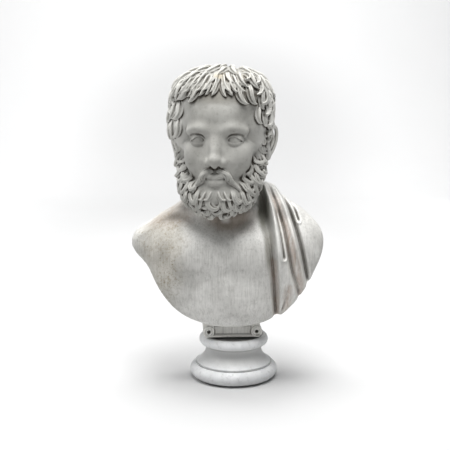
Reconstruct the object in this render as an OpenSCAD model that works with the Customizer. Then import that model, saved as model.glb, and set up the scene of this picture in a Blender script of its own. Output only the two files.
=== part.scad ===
// Pieced marble bust of a bearded man on an index tablet and a turned socle.
// Frame: +Z up, the figure faces -Y, origin at the centre of the underside on the socle's axis.

/* [Overall] */
// Height from the rest face to the top of the hair
total_h = 590; // [570:1:610]
// Sideways offset of the figure's midline from the socle's axis
body_x = -18; // [-20:1:-14]

/* [Head] */
// Height from the beard's tip to the top of the hair
head_h = 290; // [280:1:296]
// Width of the head over the side locks
head_w = 196; // [188:2:204]
// Depth of the head from the fringe to the back locks
head_d = 216; // [208:2:222]
// Radius of the neck where it enters its socket
neck_r = 60; // [56:1:62]
// Height of the floor of the neck socket
socket_z = 302; // [298:1:306]
// Thickness of the mortar round the neck and under it
neck_gap = 1; // [0.5:0.25:2]

/* [Torso] */
// Height of the seat on which the torso stands
seat_z = 118; // [116:1:120]
// Depth of the chest in front of the socle's axis
chest_y = 92; // [86:1:96]
// Depth of the cut edge behind the socle's axis
back_y = 46; // [42:1:52]
// Width of the rib left standing in the hollowed back
rib_w = 84; // [76:2:96]

/* [Tablet] */
// Sideways offset of the tablet from the socle's axis
tablet_x = -4; // [-6:1:0]
// Width of the tablet's panel
tablet_w = 108; // [100:2:112]
// Depth of the tablet from front to back
tablet_d = 84; // [76:2:88]
// Radius of each drilled scroll eye
eye_r = 3.4; // [2.5:0.1:4]
// Depth of each drilled scroll eye
eye_depth = 12; // [8:1:16]

/* [Socle] */
// Height of the top of the socle
socle_top = 83; // [82:0.5:84]
// Outer radius of the foot torus
foot_r = 83.5; // [80:0.5:86]
// Outer radius of the top torus
top_r = 66; // [64:0.5:68]
// Radius of the waist between the two
waist_r = 53; // [51:0.5:54]
// Thickness of the felt pad under the foot
felt_t = 2; // [1:0.5:3]

/* [Fixings] */
// Radius of the threaded tie rod
rod_r = 8; // [8:0.5:9]
// Clearance round the tie rod in the socle and the tablet
rod_clearance = 1; // [0.5:0.25:1.5]
// Radius of the neck dowel
dowel_r = 7; // [6:0.5:8]
// Radius of the small locating pins
pin_r = 4; // [3:0.5:5]
// Thickness of the mortar beds between the blocks
bed_t = 1; // [0.5:0.25:1.5]

/* [Hidden] */

MARBLE = [0.80, 0.79, 0.76];
HEAD_MARBLE = [0.77, 0.77, 0.75];
MORTAR = [0.72, 0.69, 0.62];
STEEL = [0.62, 0.63, 0.65];
FELT = [0.16, 0.20, 0.17];
SMOOTH = 96;
COARSE = 32;
CUT = 0.01;

// Head: centre of the skull in its hair, and the neck's axis
head_x = body_x - 5;
head_y = -16;
hair_c = [head_x, head_y + 4, total_h - 96];
beard_z = total_h - head_h;
neck_c = [body_x - 2, 10];
neck_top = beard_z + 130;

// Fixings along the socle's axis
rod_hole_r = rod_r + rod_clearance;
rod_low = felt_t + 3;
rod_high = 232;
grout_r = rod_r + 3;
recess_r = 22;
recess_h = 25;
recess_top = felt_t + recess_h;
washer_r = 20;
washer_t = 3;
spring_r = 13.5;
spring_t = 3.5;
nut_flats = 24;
nut_h = 13;
felt_r = 68;
dowel_low = 264;
dowel_high = 352;
pin_len = 30;
torso_pin_x = 32;
tablet_pin_x = 30;
ring_r = 72;

tablet_z = socle_top + bed_t;
tablet_h = seat_z - bed_t - tablet_z;

// Front outline of the cut torso, from the drape by the neck round to the bare shoulder
OUTLINE = [[60, 376], [99, 343], [150, 304], [164, 268], [142, 208], [99, 149], [50, 118], [0, 111],
           [-53, 117], [-108, 143], [-144, 188], [-163, 232], [-191, 264], [-179, 284], [-116, 323],
           [-60, 358]];
OUTLINE_STEPS = 4;

// Catmull-Rom point between b and c at share t
function spline_point(a, b, c, d, t) =
    0.5 * (2 * b + (c - a) * t + (2 * a - 5 * b + 4 * c - d) * t * t + (3 * b - a - 3 * c + d) * t * t * t);

function smooth_loop(p, steps) =
    let (n = len(p))
    [for (i = [0:n - 1], k = [0:steps - 1])
        spline_point(p[(i + n - 1) % n], p[i], p[(i + 1) % n], p[(i + 2) % n], k / steps)];

module ellipsoid(centre, radii) {
    translate(centre) scale(radii) sphere(r = 1, $fn = COARSE);
}

module post(centre, r, low, high) {
    translate([centre[0], centre[1], low]) cylinder(r = r, h = high - low, $fn = SMOOTH);
}

// Convex mass through a list of [centre, radii] pairs
module mass(lumps) {
    hull() for (l = lumps) ellipsoid(l[0], l[1]);
}

// ---- Head block ----

module skull_in_hair() {
    side = head_w / 2;
    deep = head_d / 2;
    mass([[hair_c + [0, 0, 6], [side - 6, deep, 90]],
          [hair_c + [0, 14, -22], [side, deep - 18, 64]],
          [hair_c + [0, 44, -78], [62, 50, 40]]]);
}

module face() {
    mass([[hair_c + [0, -30, -14], [72, 68, 40]],
          [hair_c + [0, -38, -62], [68, 60, 40]],
          [hair_c + [0, -54, -124], [36, 44, 34]]]);
}

module nose() {
    mass([[hair_c + [0, -92, -26], [9, 12, 10]],
          [hair_c + [0, -104, -74], [15, 14, 9]]]);
}

module beard() {
    low = [head_x, head_y - 66, beard_z];
    mass([[low + [0, -2, 86], [66, 44, 30]],
          [low + [0, 34, 96], [80, 40, 44]],
          [low + [0, 14, 56], [66, 48, 34]],
          [low + [0, 0, 28], [40, 34, 28]]]);
}

module ear(side) {
    root = hair_c + [side * 92, 14, -44];
    mass([[root, [9, 15, 15]], [root + [side * -6, -6, -30], [7, 9, 10]]]);
}

module neck() {
    post(neck_c, neck_r - neck_gap, socket_z + neck_gap, neck_top);
}

module head() {
    color(HEAD_MARBLE) difference() {
        union() {
            skull_in_hair();
            face();
            nose();
            beard();
            for (side = [-1, 1]) ear(side);
            neck();
        }
        post(neck_c, dowel_r, socket_z, dowel_high);
    }
}

module neck_dowel() {
    color(STEEL) post(neck_c, dowel_r, dowel_low, dowel_high);
}

module neck_mortar() {
    rim = socket_z + 14;
    color(MORTAR) difference() {
        post(neck_c, neck_r, socket_z, rim);
        post(neck_c, neck_r - neck_gap, socket_z + neck_gap, rim + CUT);
        post(neck_c, dowel_r, socket_z - CUT, rim);
    }
}

// ---- Torso block ----

module outline_prism() {
    translate([0, 120, 0]) rotate([90, 0, 0])
        linear_extrude(height = 260) polygon(smooth_loop(OUTLINE, OUTLINE_STEPS));
}

module chest() {
    deep = 46;
    mass([for (side = [-1, 1]) [[body_x + side * 58, deep - chest_y, 246], [50, deep, 44]]]);
}

module rib_cage() {
    mass([[[body_x - 76, -14, 256], [92, 66, 50]],
          [[body_x + 84, -14, 262], [92, 66, 54]],
          [[body_x - 56, -20, 166], [86, 54, 52]],
          [[body_x + 62, -20, 166], [86, 54, 52]],
          [[body_x + 12, -26, 130], [60, 42, 24]]]);
}

module shoulders() {
    mass([[[-166, 6, 262], [32, 42, 30]],
          [[-112, 10, 286], [40, 38, 38]],
          [[body_x, 16, 322], [70, 34, 36]],
          [[96, 12, 306], [40, 38, 34]],
          [[132, 6, 266], [34, 44, 42]]]);
}

module armpit() {
    mass([[[-150, 0, 250], [34, 40, 30]],
          [[-122, -4, 196], [30, 40, 40]]]);
}

module drape() {
    mass([[[68, 4, 352], [20, 42, 22]],
          [[82, -40, 306], [28, 40, 30]],
          [[86, -56, 236], [30, 38, 40]],
          [[132, -4, 266], [36, 48, 42]],
          [[80, -42, 140], [30, 32, 26]]]);
}

// Hollow at the back, cleared to either side of the rib
module back_hollow() {
    difference() {
        mass([[[body_x - 62, back_y + 10, 226], [66, 72, 58]],
              [[body_x + 72, back_y + 10, 226], [66, 72, 58]],
              [[body_x + 12, back_y + 10, 166], [72, 72, 34]]]);
        translate([-rib_w / 2, -60, seat_z - 40]) cube([rib_w, 60 + back_y, 260]);
    }
}

// Nape and upper back, which close the neck's socket behind
module upper_back() {
    intersection() {
        mass([[[neck_c[0], 26, 326], [82, 52, 48]],
              [[neck_c[0], 20, 296], [96, 40, 36]]]);
        outline_prism();
    }
}

module torso_mass() {
    upper_back();
    intersection() {
        union() {
            chest();
            rib_cage();
            shoulders();
            armpit();
            drape();
            translate([-rib_w / 2, -20, seat_z]) cube([rib_w, 20 + back_y - 4, 130]);
        }
        outline_prism();
        translate([-250, -150, 0]) cube([500, 150 + back_y, 500]);
    }
}

module tablet_notch() {
    margin = 2;
    translate([tablet_x - tablet_w / 2 - margin, -tablet_d / 2 - margin, 0])
        cube([tablet_w + 2 * margin, tablet_d + 100, seat_z]);
}

module torso() {
    color(MARBLE) difference() {
        torso_mass();
        back_hollow();
        tablet_notch();
        post(neck_c, neck_r, socket_z, 420);
        post(neck_c, dowel_r, dowel_low, socket_z + CUT);
        post([0, 0], grout_r, seat_z - CUT, rod_high);
        for (side = [-1, 1]) post([side * torso_pin_x, 0], pin_r, seat_z - CUT, seat_z + pin_len / 2);
    }
}

// ---- Tablet block ----

// Rolled border round one drilled scroll eye
module scroll_ring(r, thickness) {
    rotate([90, 0, 0]) rotate_extrude($fn = 48) translate([r, 0]) circle(r = thickness, $fn = 24);
}

module index_tablet() {
    ledge_h = 4;
    ledge_out = 3;
    scroll_x = tablet_w / 2 - 9;
    scroll_z = tablet_z + 13;
    front = -tablet_d / 2;
    left = tablet_x - tablet_w / 2;
    color(MARBLE) difference() {
        union() {
            translate([left, front + 2, tablet_z]) cube([tablet_w, tablet_d - 2, tablet_h]);
            translate([left - ledge_out, front, tablet_z])
                cube([tablet_w + 2 * ledge_out, tablet_d, ledge_h]);
            for (side = [-1, 1]) translate([tablet_x + side * scroll_x, front + 2, scroll_z])
                scroll_ring(eye_r + 2.4, 1.6);
        }
        for (side = [-1, 1]) translate([tablet_x + side * scroll_x, front - 2, scroll_z])
            rotate([-90, 0, 0]) cylinder(r = eye_r, h = eye_depth + 4, $fn = 48);
        post([0, 0], rod_hole_r, tablet_z - 1, seat_z + 1);
        for (side = [-1, 1]) {
            post([side * torso_pin_x, 0], pin_r, seat_z - bed_t - pin_len / 2, seat_z);
            post([side * tablet_pin_x, 0], pin_r, tablet_z - 1, tablet_z + pin_len / 2);
        }
    }
}

module bed(low, width, depth, pin_x) {
    color(MORTAR) difference() {
        translate([-width / 2, -depth / 2, low]) cube([width, depth, bed_t]);
        post([0, 0], rod_hole_r, low - 1, low + bed_t + 1);
        for (side = [-1, 1]) post([side * pin_x, 0], pin_r, low - 1, low + bed_t + 1);
    }
}

module torso_bed() {
    bed(seat_z - bed_t, rib_w - 4, tablet_d - 6, torso_pin_x);
}

module tablet_bed() {
    bed(socle_top, 64, 60, tablet_pin_x);
}

module pin_pair(x, middle) {
    color(STEEL) for (side = [-1, 1])
        post([side * x, 0], pin_r, middle - pin_len / 2 + 2, middle + pin_len / 2 - 2);
}

module torso_pins() {
    pin_pair(torso_pin_x, seat_z - bed_t / 2);
}

module tablet_pins() {
    pin_pair(tablet_pin_x, socle_top + bed_t / 2);
}

// ---- Socle ----

// Round bar bent into a ring of outer radius r, with its middle at height z
module torus(r, z, tube) {
    translate([0, 0, z]) rotate_extrude($fn = SMOOTH) translate([r - tube, 0]) circle(r = tube, $fn = 48);
}

// Bell-shaped flare, from the waist at the top out to the fillet ring
module flare(low, high) {
    curve_r = 30;
    rotate_extrude($fn = SMOOTH) difference() {
        translate([0, low]) square([ring_r, high - low]);
        translate([waist_r + curve_r, high]) circle(r = curve_r, $fn = 2 * SMOOTH);
    }
}

module socle() {
    foot_tube = 13;
    top_tube = 9.5;
    foot_top = felt_t + 2 * foot_tube;
    flare_low = foot_top + 3;
    flare_high = 59;
    top_torus_z = socle_top - top_tube;
    color(MARBLE) difference() {
        union() {
            torus(foot_r, felt_t + foot_tube, foot_tube);
            post([0, 0], foot_r - foot_tube, felt_t, foot_top);
            post([0, 0], ring_r, foot_top - foot_tube, flare_low);
            flare(flare_low, flare_high);
            post([0, 0], waist_r, foot_top, top_torus_z);
            torus(top_r, top_torus_z, top_tube);
            post([0, 0], top_r - top_tube, top_torus_z - top_tube, socle_top);
        }
        post([0, 0], recess_r, felt_t - 1, recess_top);
        post([0, 0], rod_hole_r, 0, socle_top + 1);
        for (side = [-1, 1]) post([side * tablet_pin_x, 0], pin_r, socle_top - pin_len / 2, socle_top + 1);
    }
}

// ---- Fixings ----

module tie_rod() {
    color(STEEL) post([0, 0], rod_r, rod_low, rod_high);
}

module rod_grout() {
    color(MORTAR) difference() {
        post([0, 0], grout_r, seat_z, rod_high);
        post([0, 0], rod_r, seat_z - 1, rod_high + 1);
    }
}

module flat_washer() {
    color(STEEL) difference() {
        post([0, 0], washer_r, recess_top - washer_t, recess_top);
        post([0, 0], rod_r, recess_top - washer_t - 1, recess_top + 1);
    }
}

module spring_washer() {
    low = recess_top - washer_t - spring_t;
    slit = 2;
    color(STEEL) difference() {
        post([0, 0], spring_r, low, low + spring_t);
        post([0, 0], rod_r, low - 1, low + spring_t + 1);
        translate([0, -slit / 2, low - 1]) cube([spring_r + 1, slit, spring_t + 2]);
    }
}

module hex_nut() {
    low = recess_top - washer_t - spring_t - nut_h;
    color(STEEL) difference() {
        translate([0, 0, low]) cylinder(r = nut_flats / sqrt(3), h = nut_h, $fn = 6);
        post([0, 0], rod_r, low - 1, low + nut_h + 1);
    }
}

// Felt over the foot, which also closes the nut's recess
module felt_pad() {
    color(FELT) post([0, 0], felt_r, 0, felt_t);
}

head();
neck_dowel();
neck_mortar();
torso();
torso_bed();
torso_pins();
index_tablet();
tablet_bed();
tablet_pins();
socle();
tie_rod();
rod_grout();
flat_washer();
spring_washer();
hex_nut();
felt_pad();
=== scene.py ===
import copy
import math

import bpy
import numpy as np
import openvdb
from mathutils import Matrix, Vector


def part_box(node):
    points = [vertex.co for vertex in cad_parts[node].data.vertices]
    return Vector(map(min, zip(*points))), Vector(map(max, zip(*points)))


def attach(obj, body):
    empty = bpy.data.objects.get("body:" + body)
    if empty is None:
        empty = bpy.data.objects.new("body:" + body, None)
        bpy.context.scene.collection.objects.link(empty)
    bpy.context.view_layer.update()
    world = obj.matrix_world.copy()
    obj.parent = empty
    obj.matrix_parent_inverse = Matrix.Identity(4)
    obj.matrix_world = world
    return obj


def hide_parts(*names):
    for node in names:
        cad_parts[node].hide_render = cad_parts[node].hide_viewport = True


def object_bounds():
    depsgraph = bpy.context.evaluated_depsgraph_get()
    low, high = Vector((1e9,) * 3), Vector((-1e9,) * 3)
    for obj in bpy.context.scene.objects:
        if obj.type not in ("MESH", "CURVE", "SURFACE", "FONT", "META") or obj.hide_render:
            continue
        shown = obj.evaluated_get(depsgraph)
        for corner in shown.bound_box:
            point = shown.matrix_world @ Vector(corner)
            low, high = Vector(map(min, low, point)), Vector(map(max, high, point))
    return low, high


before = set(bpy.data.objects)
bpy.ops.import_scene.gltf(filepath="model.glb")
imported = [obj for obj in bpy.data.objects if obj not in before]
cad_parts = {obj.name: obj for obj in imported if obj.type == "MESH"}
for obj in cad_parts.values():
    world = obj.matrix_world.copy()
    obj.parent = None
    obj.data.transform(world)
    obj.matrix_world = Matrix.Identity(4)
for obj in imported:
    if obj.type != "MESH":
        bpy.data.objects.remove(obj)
cad_low, cad_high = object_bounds()

MM = 0.001
SEED = 4711
# Distance given to points far from any surface, and the side of a grid cell for each block
FAR = 30.0
HEAD_CELL = 1.2
TORSO_CELL = 1.4
TABLET_CELL = 0.7


# ---- Where things are, in millimetres, from the frame ----

def cad_box(node):
    """A CAD node's lowest and highest corners, in millimetres."""
    low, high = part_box(node)
    return np.array(low) / MM, np.array(high) / MM


head_low, head_high = cad_box("head")
torso_low, torso_high = cad_box("torso")
tablet_low, tablet_high = cad_box("index_tablet")
socle_low, socle_high = cad_box("socle")
dowel_low, dowel_high = cad_box("neck_dowel")
mortar_low, mortar_high = cad_box("neck_mortar")
torso_pins_low, torso_pins_high = cad_box("torso_pins")
grout_low, grout_high = cad_box("rod_grout")
tablet_pins_high = cad_box("tablet_pins")[1]
rod_high = cad_box("tie_rod")[1]
washer_high = cad_box("flat_washer")[1]

neck_x, neck_y = ((dowel_low + dowel_high) / 2)[:2]
neck_r = (mortar_high[0] - mortar_low[0]) / 2
dowel_r = (dowel_high[0] - dowel_low[0]) / 2
socket_z = mortar_low[2]
seat_z = grout_low[2]
grout_r = grout_high[0]
rod_r = rod_high[0]
pin_r = (torso_pins_high[1] - torso_pins_low[1]) / 2
torso_pin_x = torso_pins_high[0] - pin_r
tablet_pin_x = tablet_pins_high[0] - pin_r

# The head's own frame: origin between the ears at eye level, face along -Y
CROWN = 132.0
FACE_FRONT = 115.0
HEAD_TURN = math.radians(-10)
head_at = np.array([(head_low[0] + head_high[0]) / 2, head_low[1] + FACE_FRONT, head_high[2] - CROWN])


def turn_z(angle):
    """Rotation matrix about the upright axis."""
    cos, sin = math.cos(angle), math.sin(angle)
    return np.array([[cos, -sin, 0], [sin, cos, 0], [0, 0, 1]])


def head_to_world(points):
    return points @ turn_z(HEAD_TURN).T + head_at


def world_to_head(points):
    return (np.asarray(points, float) - head_at) @ turn_z(HEAD_TURN)


# ---- Carving: a block of stone as a grid of signed distances ----

def smooth_min(a, b, soft):
    """The lower of two distances, blended where they are less than soft apart."""
    if soft <= 0:
        return np.minimum(a, b)
    near = np.maximum(soft - np.abs(a - b), 0)
    return np.minimum(a, b) - near * near * (0.25 / soft)


def unit(v):
    return v / np.maximum(np.linalg.norm(v, axis=-1, keepdims=True), 1e-9)


def smooth_line(points, steps=6):
    """Catmull-Rom curve through a few points, each a row of any width."""
    p = np.array(points, float)
    p = np.vstack([2 * p[0] - p[1], p, 2 * p[-1] - p[-2]])
    t = np.linspace(0, 1, steps, endpoint=False)[:, None]
    spans = []
    for a, b, c, d in zip(p[:-3], p[1:-2], p[2:-1], p[3:]):
        spans.append(0.5 * (2 * b + (c - a) * t + (2 * a - 5 * b + 4 * c - d) * t ** 2
                            + (3 * b - a - 3 * c + d) * t ** 3))
    return np.vstack(spans + [p[-2]])


class Block:
    """Signed distance to the surface of the stone, in millimetres, negative inside it."""

    def __init__(self, low, high, voxel):
        self.low = np.array(low, float)
        self.voxel = voxel
        self.size = np.ceil((np.array(high, float) - self.low) / voxel).astype(int) + 1
        self.d = np.full(self.size, FAR, np.float32)

    def blank(self):
        """An empty block on the same grid."""
        other = copy.copy(self)
        other.d = np.full(self.size, FAR, np.float32)
        return other

    def window(self, low, high):
        """The part of the grid between two corners, and its coordinates. None if it is outside."""
        first = np.floor((np.array(low, float) - self.low) / self.voxel).astype(int)
        last = np.ceil((np.array(high, float) - self.low) / self.voxel).astype(int) + 1
        first, last = np.maximum(first, 0), np.minimum(last, self.size)
        if (last <= first).any():
            return None
        x, y, z = ((self.low[i] + self.voxel * np.arange(first[i], last[i])).astype(np.float32)
                   for i in range(3))
        part = tuple(slice(a, b) for a, b in zip(first, last))
        return part, x[:, None, None], y[None, :, None], z[None, None, :]

    def everywhere(self):
        """The coordinates of the whole grid."""
        return self.window(self.low, self.low + self.voxel * self.size)[1:]

    def add(self, shape, soft=0.0, cut=False, part=...):
        """Joins a shape to the stone, or cuts it out, with a soft edge between the two."""
        sign = -1 if cut else 1
        self.d[part] = sign * smooth_min(sign * self.d[part], shape.astype(np.float32), soft)

    def carve(self, low, high, shape_at, soft, cut):
        """Adds or cuts a shape given as a function of x, y and z, between two corners."""
        found = self.window(low, high)
        if found is not None:
            part, x, y, z = found
            self.add(shape_at(x, y, z), soft, cut, part)

    def ellipsoid(self, centre, radii, soft=8.0, cut=False, margin=12.0):
        centre, radii = np.array(centre, float), np.array(radii, float)
        reach = radii + soft + margin

        def shape_at(x, y, z):
            x, y, z = x - centre[0], y - centre[1], z - centre[2]
            level = np.sqrt((x / radii[0]) ** 2 + (y / radii[1]) ** 2 + (z / radii[2]) ** 2)
            slope = np.sqrt((x / radii[0] ** 2) ** 2 + (y / radii[1] ** 2) ** 2 + (z / radii[2] ** 2) ** 2)
            return level * (level - 1) / np.maximum(slope, 1e-6)
        self.carve(centre - reach, centre + reach, shape_at, soft, cut)

    def chain(self, points, radii, soft, cut=False):
        """A round bar along a line of points, with a radius at each point."""
        points = np.array(points, float)
        radii = np.broadcast_to(np.array(radii, float), len(points))
        reach = radii.max() + soft + 8

        def shape_at(x, y, z):
            shape = np.full(np.broadcast_shapes(x.shape, y.shape, z.shape), FAR, np.float32)
            for a, b, ra, rb in zip(points[:-1], points[1:], radii[:-1], radii[1:]):
                np.minimum(shape, bar_distance(x, y, z, a, b, ra, rb), out=shape)
            return shape
        self.carve(points.min(0) - reach, points.max(0) + reach, shape_at, soft, cut)

    def curve(self, points, first_r, last_r, soft):
        """A round bar along a smooth curve, its radius going evenly from the first to the last."""
        line = smooth_line(points)
        self.chain(line, np.linspace(first_r, last_r, len(line)), soft)

    def thread(self, points, radii):
        """A thin round bar, joined with no softness and worked out close round each segment only."""
        margin = 2.5
        for a, b, ra, rb in zip(points[:-1], points[1:], radii[:-1], radii[1:]):
            reach = max(ra, rb) + margin
            found = self.window(np.minimum(a, b) - reach, np.maximum(a, b) + reach)
            if found is not None:
                part, x, y, z = found
                here = self.d[part]
                np.minimum(here, bar_distance(x, y, z, a, b, ra, rb), out=here)

    def box(self, low, high, soft=0.0, cut=False, rounded=0.0):
        low, high = np.array(low, float), np.array(high, float)
        middle, half = (low + high) / 2, (high - low) / 2 - rounded

        def shape_at(x, y, z):
            out = [np.abs(v - m) - h for v, m, h in zip((x, y, z), middle, half)]
            outside = np.sqrt(sum(np.maximum(v, 0) ** 2 for v in out))
            return outside + np.minimum(np.maximum(np.maximum(out[0], out[1]), out[2]), 0) - rounded
        self.carve(low - 8, high + 8, shape_at, soft, cut)

    def bore(self, x0, y0, low, high, r):
        """An upright round hole."""
        reach = r + 8

        def shape_at(x, y, z):
            ring = np.sqrt((x - x0) ** 2 + (y - y0) ** 2) - r
            return np.maximum(ring + 0 * z, np.maximum(low - z, z - high))
        self.carve((x0 - reach, y0 - reach, low - 8), (x0 + reach, y0 + reach, high + 8), shape_at, 0, True)

    def soften(self, share=0.1):
        """Rounds off the finest marks: share is what each of a cell's two neighbours gives it."""
        for axis in range(3):
            d = np.moveaxis(self.d, axis, 0)
            d[1:-1] = share * (d[:-2] + d[2:]) + (1 - 2 * share) * d[1:-1]

    def measured(self, points, quads, reach=7.0):
        """A block with true distances to a surface given in grid steps, out to the reach."""
        grid = openvdb.FloatGrid.createLevelSetFromPolygons(
            points, quads=quads, transform=openvdb.createLinearTransform(1.0), halfWidth=reach / self.voxel)
        other = self.blank()
        grid.copyToArray(other.d)
        other.d *= self.voxel
        other.soften(0.25)
        return other

    def sample(self, points):
        """Signed distance at each point, blended from the eight cells round it."""
        spot = (np.asarray(points, float) - self.low) / self.voxel
        spot = np.clip(spot, 0, self.size - 1.001)
        cell = spot.astype(int)
        inner = spot - cell
        total = 0
        for up, back, right in np.ndindex(2, 2, 2):
            weight = 1.0
            for axis, step in enumerate((right, back, up)):
                weight = weight * (inner[..., axis] if step else 1 - inner[..., axis])
            total = total + weight * self.d[cell[..., 0] + right, cell[..., 1] + back, cell[..., 2] + up]
        return total

    def normal(self, points):
        """Outward direction at each point."""
        points = np.asarray(points, float)
        reach = 1.5 * self.voxel
        steps = np.eye(3) * reach
        slope = [self.sample(points + s) - self.sample(points - s) for s in steps]
        return unit(np.stack(slope, -1))

    def settle(self, points, passes=2):
        """Moves points onto the surface along its normals."""
        for _ in range(passes):
            points = points - self.normal(points) * self.sample(points)[..., None]
        return points

    def hit(self, starts, ways, far=200.0):
        """Where rays from outside meet the stone first, and which of them do."""
        steps = np.arange(0, far, self.voxel)
        along = starts[:, None, :] + ways[:, None, :] * steps[None, :, None]
        inside = self.sample(along) < 0
        met = inside.any(1)
        first = inside.argmax(1)
        return self.settle(starts + ways * steps[first][:, None]), met

    def mesh(self, name, to_world=None, carved=None):
        """The largest shell of the surface as a Blender mesh in metres, in the row frame.

        carved gives each point's share of hair or cloth, 0 on plain stone.
        """
        grid = openvdb.FloatGrid(3 * self.voxel)
        grid.copyFromArray(np.clip(self.d, -3 * self.voxel, 3 * self.voxel))
        points, quads = grid.convertToQuads(0.0)
        true = self.measured(points, quads)
        points = self.low + points.astype(float) * self.voxel
        points, quads = largest_shell(points, quads.astype(np.int64))
        hollow, ridge = self.hollows_and_ridges(points, true)
        share = np.zeros(len(points)) if carved is None else carved(points)
        if to_world is not None:
            points = to_world(points)
        piece = mesh_object(name, points * MM, quads)
        set_values(piece, "hollow", hollow)
        set_values(piece, "ridge", ridge)
        set_values(piece, "carved", share)
        return piece

    def hollows_and_ridges(self, points, true):
        """How far each point lies in a hollow, and how far it stands on a ridge: 0 to 1 each."""
        up = self.normal(points)
        hollow, ridge = 0, 0
        for reach in (1.5, 3.0, 6.0):
            hollow = hollow + np.clip(1 - true.sample(points + up * reach) / reach, 0, 1) / 3
            ridge = ridge + np.clip(1 + true.sample(points - up * reach) / reach, 0, 1) / 3
        return hollow, ridge


def bar_distance(x, y, z, a, b, ra, rb):
    """Distance to a round bar from a to b, whose radius goes from ra to rb."""
    ab = b - a
    length2 = max(float(ab @ ab), 1e-9)
    px, py, pz = x - a[0], y - a[1], z - a[2]
    t = np.clip((px * ab[0] + py * ab[1] + pz * ab[2]) / length2, 0, 1)
    gap = np.sqrt((px - t * ab[0]) ** 2 + (py - t * ab[1]) ** 2 + (pz - t * ab[2]) ** 2)
    return (gap - (ra + t * (rb - ra))).astype(np.float32)


def largest_shell(points, quads):
    """Drops loose crumbs and closed voids: keeps the connected shell with the most points."""
    label = np.arange(len(points))
    edges = np.vstack([quads[:, [0, 1]], quads[:, [1, 2]], quads[:, [2, 3]], quads[:, [3, 0]]])
    while True:
        low = np.minimum(label[edges[:, 0]], label[edges[:, 1]])
        new = label.copy()
        np.minimum.at(new, edges[:, 0], low)
        np.minimum.at(new, edges[:, 1], low)
        new = new[new]
        if (new == label).all():
            break
        label = new
    biggest = np.bincount(label).argmax()
    keep = label == biggest
    index = np.cumsum(keep) - 1
    return points[keep], index[quads[keep[quads[:, 0]]]]


def mesh_object(name, points, faces):
    """A smooth-shaded object from arrays of points and of quads."""
    data = bpy.data.meshes.new(name)
    data.vertices.add(len(points))
    data.vertices.foreach_set("co", points.astype(np.float32).ravel())
    sides = faces.shape[1]
    data.loops.add(faces.size)
    data.loops.foreach_set("vertex_index", faces.astype(np.int32).ravel())
    data.polygons.add(len(faces))
    data.polygons.foreach_set("loop_start", np.arange(0, faces.size, sides, dtype=np.int32))
    data.update(calc_edges=True)
    data.validate()
    data.shade_smooth()
    piece = bpy.data.objects.new(name, data)
    bpy.context.scene.collection.objects.link(piece)
    return piece


def set_values(piece, name, values):
    attribute = piece.data.attributes.new(name, "FLOAT", "POINT")
    attribute.data.foreach_set("value", values.astype(np.float32))


# ---- Head ----

def carve_skull(block):
    """Cranium, face and jaw masses, on plain adult proportions."""
    block.ellipsoid((0, 14, 40), (76, 92, 78), soft=0)
    block.ellipsoid((0, -22, 34), (64, 68, 58), soft=14)
    block.ellipsoid((0, -20, -30), (60, 66, 66), soft=14)
    for side in (-1, 1):
        jaw = [(side * 56, -6, -56), (side * 44, -42, -82), (0, -70, -97)]
        block.curve(jaw, 15, 17, soft=14)
        block.chain([(side * 62, -22, -10), (side * 44, -60, -17)], (10, 13), soft=14)
        block.ellipsoid((side * 33, -60, -36), (24, 21, 24), soft=18)
    block.ellipsoid((0, -74, -62), (30, 24, 22), soft=20)
    block.ellipsoid((0, -78, -99), (20, 18, 15), soft=10)


def carve_eyes(block):
    """Sockets, brow ridges, blank eyeballs and two lids over each."""
    for side in (-1, 1):
        block.ellipsoid((side * 30, -91, 1), (21, 19, 12.5), soft=6, cut=True)
        block.curve([(side * 10, -84.5, 14), (side * 30, -83, 19), (side * 50, -67, 14)], 5.5, 4, soft=16)
        eye = np.array([side * 31, -67.5, -1])
        block.ellipsoid(eye, (13.5, 13.5, 13.5), soft=2, margin=4)
        carve_lids(block, eye, side)


def carve_lids(block, eye, side):
    """An upper and a lower lid: shells round the eyeball, cut off along a curve each."""
    reach, half_width, corner_z = 22, 15.5, -2
    part, x, y, z = block.window(eye - reach, eye + reach)
    x, y, z = x - eye[0], y - eye[1], z - eye[2]
    share = np.clip((x * side + half_width) / (2 * half_width), 0, 1)
    upper = corner_z + 8.5 * np.sin(math.pi * share ** 0.9)
    lower = corner_z - 4.2 * np.sin(math.pi * share ** 1.15)
    gap = np.sqrt(x * x + y * y + z * z)
    block.add(-smooth_min(-(gap - 15.8), -(upper - z), 0.6), 1.8, part=part)
    block.add(-smooth_min(-(gap - 15.0), -(z - lower), 0.6), 2.4, part=part)


def carve_nose(block):
    """Bridge, flanks, tip, wings and nostrils."""
    block.curve([(0, -80, 16), (0, -93, -6), (0, -103, -32)], 7.5, 8.5, soft=7)
    block.ellipsoid((0, -104, -36), (10.5, 11, 9.5), soft=8)
    for side in (-1, 1):
        block.curve([(side * 8, -77, 10), (side * 11, -84, -12), (side * 15, -85, -36)], 5, 9, soft=14)
        block.ellipsoid((side * 12.5, -95, -40), (6.0, 10, 7.0), soft=6)
        block.ellipsoid((side * 6.8, -101, -48.5), (3.4, 6.5, 4.5), soft=1.5, cut=True)
    block.ellipsoid((0, -99, -45), (3.4, 9, 3.4), soft=4)


def mirrored(half):
    """A smooth line across the face, from its points on one side, the last of them on the midline."""
    return smooth_line([(-x, y, z) for x, y, z in half] + half[-2::-1])


def carve_mouth(block):
    """Two closed lips and the dip under them."""
    for half, fullness in (([(24, -85, -67), (10, -97, -62.5), (0, -99, -64)], 3),
                           ([(20, -87, -69), (8, -96, -73), (0, -97.5, -73.5)], 4)):
        lip = mirrored(half)
        block.chain(lip, 2 + fullness * np.sin(np.linspace(0, math.pi, len(lip))), soft=4)
    parting = mirrored([(26, -85, -67.5), (12, -100, -67), (0, -104, -68.5)])
    block.chain(parting, 1.2, soft=1.5, cut=True)
    block.ellipsoid((0, -100, -85), (16, 8, 5), soft=6, cut=True)


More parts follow.
